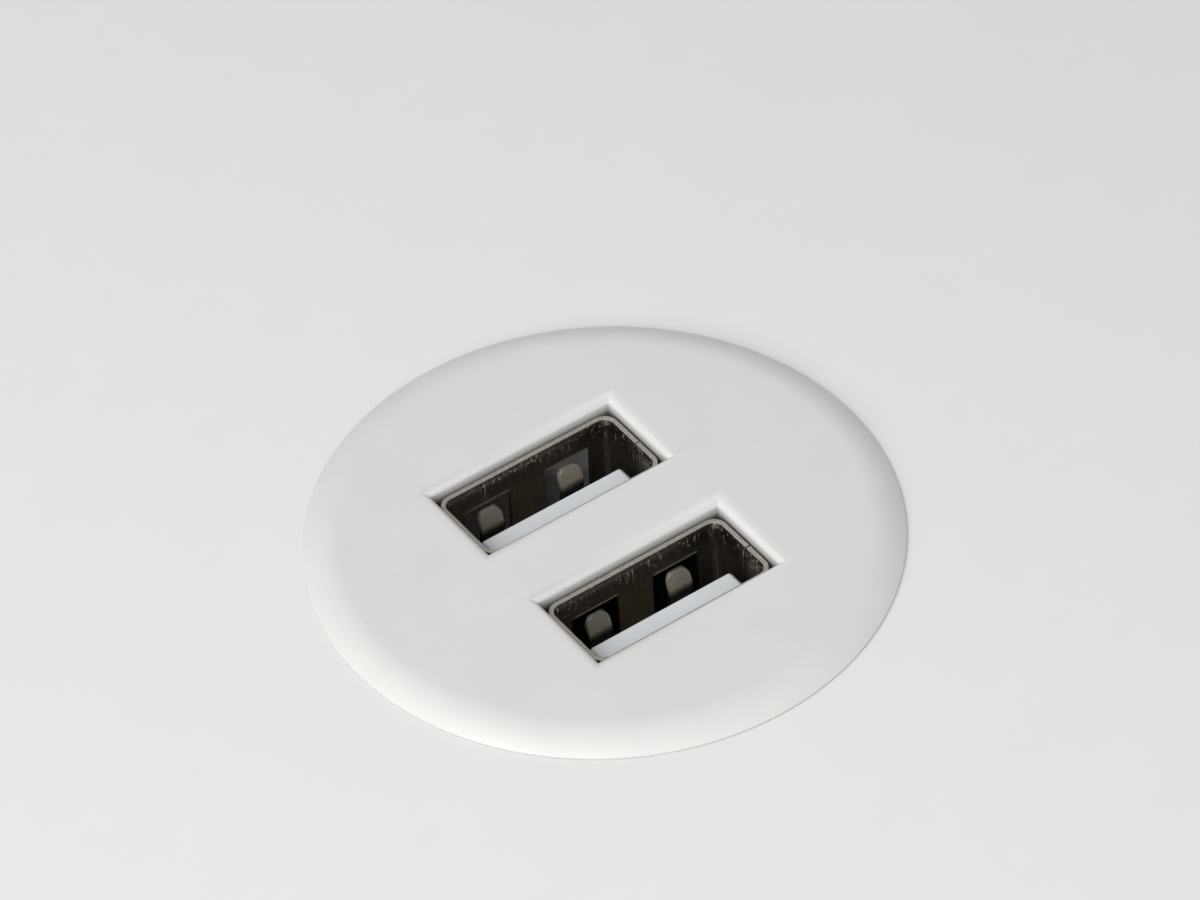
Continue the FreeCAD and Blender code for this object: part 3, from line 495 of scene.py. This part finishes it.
def make_finishes():
    """All materials by the name of their slot."""
    made = {"shell_steel": shell_wear_and_shade(), "spring_steel": rubbed_and_shaded_spring()}
    for make, looks in ((moulded, PLASTICS), (metal, METALS)):
        for name, (colour, rough, extra) in looks.items():
            made[name] = make(name, colour, rough, **extra)
    return made


# ---------------------------------------------------------------- Mesh tools
def add_object(name, mesh, material=None):
    """Turns the mesh into an object of the scene."""
    data = bpy.data.meshes.new(name)
    mesh.to_mesh(data)
    mesh.free()
    if material:
        data.materials.append(material)
    made = bpy.data.objects.new(name, data)
    bpy.context.scene.collection.objects.link(made)
    return made


def turn_outward(mesh):
    bmesh.ops.recalc_face_normals(mesh, faces=mesh.faces[:])


def polar_vertex(mesh, x, y, radius, angle, z):
    """A vertex at an angle about the upright line through (x, y)."""
    return mesh.verts.new(((x + radius * math.cos(angle)) * MM,
                           (y + radius * math.sin(angle)) * MM, z * MM))


def skin(mesh, here, there, closed=True):
    """Four-sided faces between two rows of vertices."""
    for k in range(len(here) if closed else len(here) - 1):
        n = (k + 1) % len(here)
        mesh.faces.new((here[k], there[k], there[n], here[n]))


def cap_ends(mesh, rows):
    mesh.faces.new(rows[0])
    mesh.faces.new(rows[-1][::-1])


def lathe(mesh, points, segments, closed=True, x=0.0, y=0.0, span=None):
    """Turns a profile of (radius, z) about the upright line through (x, y).

    A span is the first and the last angle of a part turn, which gets end faces. Returns the
    rings of vertices."""
    first, last = span or (0.0, 360.0)
    count = max(2, round(segments * (last - first) / 360.0)) + 1 if span else segments
    steps = count - 1 if span else count
    rings = []
    for i in range(count):
        angle = math.radians(first + i / steps * (last - first))
        rings.append([polar_vertex(mesh, x, y, r, angle, z) for r, z in points])
    for i in range(steps):
        skin(mesh, rings[i], rings[(i + 1) % count], closed)
    if span:
        cap_ends(mesh, rings)
    return rings


def turned_solid(mesh, points, segments, x, y):
    """Turns a profile that starts and ends on the upright line, and closes it there."""
    rings = lathe(mesh, points, segments, closed=False, x=x, y=y)
    for end in (0, -1):
        bmesh.ops.remove_doubles(mesh, verts=[ring[end] for ring in rings],
                                 dist=JOIN_ON_AXIS * MM)


def block(mesh, length, width, low, high):
    """A box about the upright axis."""
    verts = bmesh.ops.create_cube(mesh, size=1.0)["verts"]
    place = (Matrix.Translation((0.0, 0.0, (low + high) / 2 * MM))
             @ Matrix.Diagonal((length * MM, width * MM, (high - low) * MM, 1.0)))
    bmesh.ops.transform(mesh, matrix=place, verts=verts)


def helix_ridge(mesh, radius, profile, pitch, low, high, segments, fade, start=0.0, x=0.0, y=0.0):
    """A right-handed ridge on a radius, wound from low to high.

    The first and last points of its profile are in the wall, and the ridge sinks to them over a
    share of a turn, the fade, at both ends."""
    turns = (high - low) / pitch
    root = profile[0][0]
    rows = []
    for i in range(int(turns * segments) + 1):
        turn = i / segments
        rise = max(0.0, min(1.0, turn / fade, (turns - turn) / fade))
        angle = math.radians(start) + 2 * math.pi * turn
        rows.append([polar_vertex(mesh, x, y, radius + root + (out - root) * rise, angle,
                                  low + pitch * turn + up) for out, up in profile])
    for here, there in zip(rows, rows[1:]):
        skin(mesh, here, there)
    cap_ends(mesh, rows)


def cut_away(mesh, cutter):
    """The mesh without the space that the cutter fills."""
    things = []
    for part in (mesh, cutter):
        turn_outward(part)
        things.append(add_object("part", part))
    cut = things[0].modifiers.new("cut", "BOOLEAN")
    cut.operation = "DIFFERENCE"
    cut.solver = "EXACT"
    cut.object = things[1]
    bpy.context.view_layer.update()
    shape = bpy.data.meshes.new_from_object(
        things[0].evaluated_get(bpy.context.evaluated_depsgraph_get()))
    result = bmesh.new()
    result.from_mesh(shape)
    for thing in things:
        bpy.data.objects.remove(thing)
    return result


def finish_piece(name, mesh, slot, body, crease=35.0, replaces=None):
    """Makes the piece, smooth but for edges sharper than the crease, and puts it on its body."""
    turn_outward(mesh)
    for face in mesh.faces:
        face.smooth = True
    for edge in mesh.edges:
        if len(edge.link_faces) != 2 or edge.calc_face_angle(0.0) > math.radians(crease):
            edge.smooth = False
    piece = add_object(name, mesh, finishes[slot])
    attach(piece, body)
    if replaces:
        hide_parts(replaces)


# ---------------------------------------------------------------- Stage and light
def rounded_outline(x0, x1, y0, y1, corner, steps):
    """The points of a rectangle with round corners."""
    points = []
    for cx, cy, first in ((x1 - corner, y1 - corner, 0), (x0 + corner, y1 - corner, 90),
                          (x0 + corner, y0 + corner, 180), (x1 - corner, y0 + corner, 270)):
        for i in range(steps + 1):
            angle = math.radians(first + 90.0 * i / steps)
            points.append((cx + corner * math.cos(angle), cy + corner * math.sin(angle)))
    return points


def make_desk():
    """A thin sheet of desk top with the hole that the barrel goes through."""
    a = CAMERA_AZIMUTH
    outer = [(x * math.cos(a) - y * math.sin(a), x * math.sin(a) + y * math.cos(a))
             for x, y in rounded_outline(*DESK_RIGHT, *DESK_FORWARD, DESK_CORNER,
                                         DESK_CORNER_STEPS)]
    angles = [2 * math.pi * i / DESK_HOLE_SIDES for i in range(DESK_HOLE_SIDES)]
    inner = [(DESK_HOLE_RADIUS * math.cos(angle), DESK_HOLE_RADIUS * math.sin(angle))
             for angle in angles]
    mesh = bmesh.new()
    edges = []
    for loop in (outer, inner):
        edges += ring_edges(mesh, [mesh.verts.new((x * MM, y * MM, DESK_TOP * MM))
                                   for x, y in loop])
    bmesh.ops.triangle_fill(mesh, edges=edges, use_beauty=True, normal=(0, 0, 1))
    extruded = bmesh.ops.extrude_face_region(mesh, geom=mesh.faces[:])
    moved = [g for g in extruded["geom"] if isinstance(g, bmesh.types.BMVert)]
    bmesh.ops.translate(mesh, verts=moved, vec=(0, 0, -DESK_SHEET * MM))
    turn_outward(mesh)
    add_object("desk_top", mesh, finishes["desk_laminate"])


def make_world():
    """An even light, and a plain backdrop for what the camera and reflections see."""
    world = bpy.data.worlds.new("world")
    bpy.context.scene.world = world
    world.use_nodes = True
    nodes, links = world.node_tree.nodes, world.node_tree.links
    nodes.clear()
    output = nodes.new("ShaderNodeOutputWorld")
    mix = nodes.new("ShaderNodeMixShader")
    links.new(mix.outputs[0], output.inputs["Surface"])
    for socket, colour, strength in ((1, WORLD_COLOUR, WORLD_LIGHT), (2, BACKDROP_COLOUR, 1.0)):
        background = nodes.new("ShaderNodeBackground")
        background.inputs["Color"].default_value = colour
        background.inputs["Strength"].default_value = strength
        links.new(background.outputs[0], mix.inputs[socket])
    path = nodes.new("ShaderNodeLightPath")
    seen = path.outputs["Is Camera Ray"]
    for ray in ("Is Glossy Ray", "Is Transmission Ray"):
        either = nodes.new("ShaderNodeMath")
        either.operation = "MAXIMUM"
        links.new(seen, either.inputs[0])
        links.new(path.outputs[ray], either.inputs[1])
        seen = either.outputs[0]
    links.new(seen, mix.inputs[0])


def add_lamp(name, towards, width, power):
    """A square area lamp that looks at the plate from the given direction."""
    direction = Vector(towards).normalized()
    data = bpy.data.lights.new(name, "AREA")
    data.shape = "SQUARE"
    data.size = width * MM
    data.energy = power
    lamp = bpy.data.objects.new(name, data)
    lamp.location = direction * LAMP_DISTANCE * MM
    lamp.rotation_mode = "QUATERNION"
    lamp.rotation_quaternion = direction.to_track_quat("Z", "Y")
    lamp.visible_camera = False
    bpy.context.scene.collection.objects.link(lamp)


# ---------------------------------------------------------------- Faceplate
def rectangle_ring(mesh, half_x, half_y, z, y):
    """The four corners of a rectangle about (0, y)."""
    return [mesh.verts.new((sx * half_x * MM, (y + sy * half_y) * MM, z * MM))
            for sx, sy in ((1, 1), (-1, 1), (-1, -1), (1, -1))]


def ring_edges(mesh, ring):
    """The edges round a ring, made where they are missing."""
    found = []
    for k in range(len(ring)):
        pair = (ring[k], ring[(k + 1) % len(ring)])
        found.append(mesh.edges.get(pair) or mesh.edges.new(pair))
    return found


def soft_edge(width, drop, steps):
    """An arc that runs level into the plate's top and falls by the drop over the width.

    A list of how far each point is from the level end, and its height."""
    radius = (width ** 2 + drop ** 2) / (2 * drop)
    sweep = math.asin(width / radius)
    return [(radius * math.sin(sweep * i / steps),
             PLATE_TOP - radius * (1 - math.cos(sweep * i / steps))) for i in range(steps + 1)]


def slot_profile():
    """From the slot's wall up to the plate's top: how far out of the wall, and the height."""
    edge = [(SLOT_EDGE_WIDTH - inset, z)
            for inset, z in soft_edge(SLOT_EDGE_WIDTH, SLOT_EDGE_DROP, SLOT_EDGE_STEPS)][::-1]
    corner = PLATE_TOP - SLOT_EDGE_DROP
    lean = SLOT_CREASE * edge[1][0] / (edge[1][1] - corner)
    crease = [(0.0, corner - 2 * SLOT_CREASE)]
    for t in SLOT_CREASE_POINTS:
        crease.append((lean * t * t, corner - SLOT_CREASE * (1 - t) ** 2 + SLOT_CREASE * t * t))
    return crease + edge[1:] + [(SLOT_EDGE_WIDTH + SLOT_LEVEL_RIM, PLATE_TOP)]


def make_faceplate():
    """The plate with its soft edge and the two slots, their skirt, hooks, pillars and rib."""
    mesh = bmesh.new()
    flat = FLANGE_RADIUS - EDGE_WIDTH
    profile = [(flat - EDGE_LEVEL_RIM, PLATE_TOP)]
    profile += [(flat + out, z) for out, z in soft_edge(EDGE_WIDTH, EDGE_DROP, EDGE_STEPS)]
    profile += [(FLANGE_RADIUS, 0.0), (GROOVE_RADIUS, 0.0), (GROOVE_RADIUS, GROOVE_TOP),
                (SKIRT_OUTER, GROOVE_TOP), (SKIRT_OUTER, RELIEF_TOP),
                (SKIRT_INNER, RELIEF_TOP), (SKIRT_INNER, PLATE_UNDERSIDE)]
    rings = lathe(mesh, profile, PLATE_SIDES, closed=False)
    top_edges = ring_edges(mesh, [ring[0] for ring in rings])
    low_edges = ring_edges(mesh, [ring[-1] for ring in rings])
    for y in (-SLOT_Y, SLOT_Y):
        ring = rectangle_ring(mesh, SLOT_LENGTH / 2, SLOT_WIDTH / 2, PLATE_UNDERSIDE, y)
        low_edges += ring_edges(mesh, ring)
        for out, z in slot_profile():
            low, ring = ring, rectangle_ring(mesh, SLOT_LENGTH / 2 + out, SLOT_WIDTH / 2 + out,
                                             z, y)
            skin(mesh, low, ring)
        top_edges += ring_edges(mesh, ring)
    bmesh.ops.triangle_fill(mesh, edges=top_edges, use_beauty=True, normal=(0, 0, 1))
    bmesh.ops.triangle_fill(mesh, edges=low_edges, use_beauty=True, normal=(0, 0, -1))

    near, far = RELIEF_ANGLES
    skirt_top = RELIEF_TOP + OVERLAP
    skirt = [(SKIRT_INNER, SKIRT_LOW), (SKIRT_OUTER, SKIRT_LOW), (SKIRT_OUTER, skirt_top),
             (SKIRT_INNER, skirt_top)]
    for angle in HOOK_ANGLES:
        lathe(mesh, skirt, PLATE_SIDES, span=(angle - near, angle + near))
        lathe(mesh, skirt, PLATE_SIDES, span=(angle + far, angle + 90.0 - far))
        lathe(mesh, HOOK_PROFILE, PLATE_SIDES,
              span=(angle - HOOK_SPAN / 2, angle + HOOK_SPAN / 2))
    in_plate = PLATE_UNDERSIDE + OVERLAP
    block(mesh, 2 * PILLAR_X, RIB_THICKNESS, RIB_LOW, in_plate)
    pillar = [(ON_AXIS, PILOT_TOP), (PILOT_RADIUS, PILOT_TOP), (PILOT_RADIUS, BOARD_TOP),
              (PILLAR_RADIUS, BOARD_TOP), (PILLAR_RADIUS, in_plate), (ON_AXIS, in_plate)]
    for x in (-PILLAR_X, PILLAR_X):
        turned_solid(mesh, pillar, PILLAR_SIDES, x, 0.0)
    finish_piece("faceplate_moulding", mesh, "faceplate_plastic", "housing",
                 replaces="faceplate")


# ---------------------------------------------------------------- Threads and screws
def make_threads():
    """The barrel's thread and the nut's, half a pitch apart so that they run in each other."""
    low = THREAD_LOW + BARREL_RIDGE_HALF
    mesh = bmesh.new()
    helix_ridge(mesh, CORE_RADIUS, BARREL_RIDGE, THREAD_PITCH, low,
                THREAD_HIGH - BARREL_RIDGE_HALF, THREAD_STEPS, THREAD_FADE)
    finish_piece("barrel_thread", mesh, "barrel_plastic", "housing")
    mesh = bmesh.new()
    helix_ridge(mesh, NUT_BORE, NUT_RIDGE, THREAD_PITCH, NUT_THREAD_LOW, NUT_THREAD_HIGH,
                THREAD_STEPS, THREAD_FADE,
                start=360.0 * (NUT_THREAD_LOW - low) / THREAD_PITCH + 180.0)
    finish_piece("nut_thread", mesh, "nut_plastic", "ring_nut")


def cross_cutter(low, x, y):
    """A tapered cross that stands in the head from below: two arms at right angles."""
    mesh = bmesh.new()
    rings = []
    for height, share in ((low + RECESS_DEPTH - RECESS_HEIGHT, 1.0),
                          (low + RECESS_DEPTH, RECESS_TAPER)):
        ring = []
        for quarter in range(4):
            angle = math.radians(RECESS_TURN + 90.0 * quarter)
            for along, aside in ((RECESS_ARM, -RECESS_WIDTH), (RECESS_ARM, RECESS_WIDTH),
                                 (RECESS_WIDTH, RECESS_WIDTH)):
                px = share * (along * math.cos(angle) - aside * math.sin(angle))
                py = share * (along * math.sin(angle) + aside * math.cos(angle))
                ring.append(mesh.verts.new(((x + px) * MM, (y + py) * MM, height * MM)))
        rings.append(ring)
    skin(mesh, *rings)
    cap_ends(mesh, rings)
    return mesh


def make_screw(name, node, seat, tip, x, y):
    """A pan-head screw that points up, with a cross recess and a coarse thread."""
    low = seat - SCREW_HEAD_HEIGHT
    mesh = bmesh.new()
    turned_solid(mesh, [(radius, low + up) for radius, up in SCREW_HEAD_CURVE]
                 + [(SCREW_HEAD, seat), (SCREW_CORE, seat), (SCREW_CORE, tip - SCREW_POINT),
                    (ON_AXIS, tip)], SCREW_SIDES, x, y)
    mesh = cut_away(mesh, cross_cutter(low, x, y))
    helix_ridge(mesh, SCREW_CORE, SCREW_RIDGE, SCREW_PITCH, seat + SCREW_THREAD_START,
                tip - SCREW_THREAD_END, SCREW_THREAD_STEPS, SCREW_THREAD_FADE, x=x, y=y)
    finish_piece(name, mesh, "screw_steel", "housing", crease=SCREW_CREASE, replaces=node)


def make_screws():
    for node, name, seat, held, places in SCREW_ROWS:
        for number, (x, y) in enumerate(places, 1):
            make_screw(f"{name}_{number}", node, seat, held + SCREW_GRIP, x, y)


# ---------------------------------------------------------------- Soft edges of the CAD nodes
def joined_and_smooth():
    """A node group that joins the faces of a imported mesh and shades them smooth."""
    group = bpy.data.node_groups.new("joined_and_smooth", "GeometryNodeTree")
    for side in ("INPUT", "OUTPUT"):
        group.interface.new_socket("Geometry", in_out=side, socket_type="NodeSocketGeometry")
    nodes = group.nodes
    last = nodes.new("NodeGroupInput").outputs[0]
    merge = nodes.new("GeometryNodeMergeByDistance")
    merge.inputs["Distance"].default_value = JOIN_FACES * MM
    forget = nodes.new("GeometryNodeRemoveAttribute")
    forget.inputs["Name"].default_value = "custom_normal"
    smooth = nodes.new("GeometryNodeSetShadeSmooth")
    for node in (merge, forget, smooth):
        group.links.new(last, node.inputs[0])
        last = node.outputs[0]
    group.links.new(last, nodes.new("NodeGroupOutput").inputs[0])
    return group


def soften_nodes():
    """Rounds the sharp edges of the CAD nodes, as a mould or a press leaves them."""
    group = joined_and_smooth()
    for name, width in EDGE_ROUNDS.items():
        node = frame["nodes"][name]
        node.modifiers.new("joined", "NODES").node_group = group
        flat = node.modifiers.new("flat_faces", "DECIMATE")
        flat.decimate_type = "DISSOLVE"
        flat.angle_limit = math.radians(FLAT_ANGLE)
        bevel = node.modifiers.new("rounded_edges", "BEVEL")
        bevel.width = width * MM
        bevel.segments = ROUND_STEPS
        bevel.limit_method = "ANGLE"
        bevel.angle_limit = math.radians(ROUNDED_ANGLE)
        bevel.miter_outer = "MITER_ARC"
        weighted = node.modifiers.new("weighted_normals", "WEIGHTED_NORMAL")
        weighted.mode = "FACE_AREA"
        weighted.weight = NORMAL_WEIGHT


# ---------------------------------------------------------------- The scene
finishes = make_finishes()
place_camera()
make_desk()
make_world()
for name, lamp in LAMPS.items():
    add_lamp(name, *lamp)

slots = {row["node"]: row["material_slot"] for row in frame["record"]["subparts"]}
for name, node in frame["nodes"].items():
    slot = slots[name]
    node.data.materials.clear()
    node.data.materials.append(finishes[slot])

make_faceplate()
make_threads()
make_screws()
soften_nodes()

bpy.context.scene.view_settings.view_transform = "Standard"
